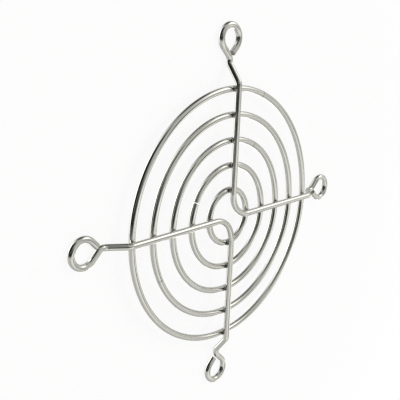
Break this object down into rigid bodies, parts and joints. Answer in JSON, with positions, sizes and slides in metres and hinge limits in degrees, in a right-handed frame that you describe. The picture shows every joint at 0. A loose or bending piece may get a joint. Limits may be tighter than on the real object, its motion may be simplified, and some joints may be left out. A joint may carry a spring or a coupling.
{
  "type": "wire fan guard",
  "caption": "Round wire finger guard for a square axial fan: concentric rings welded under bent support wires whose ends form screw eyelets",
  "frame": {"origin": "centre of the guard, in the plane of the fan's face that the eyelets rest on", "axes": "+Z is the fan's axis, away from the fan; X and Y run along the sides of the screw-hole square"},
  "size_m": [0.0804, 0.0804, 0.0056],
  "materials": {
    "plated_wire": "bright nickel plate over drawn steel wire"
  },
  "bodies": {
    "root": {"ring_1": "plated_wire", "ring_2": "plated_wire", "ring_3": "plated_wire", "ring_4": "plated_wire", "ring_5": "plated_wire", "support_wire_a": "plated_wire", "support_wire_b": "plated_wire"}
  },
  "joints": []
}
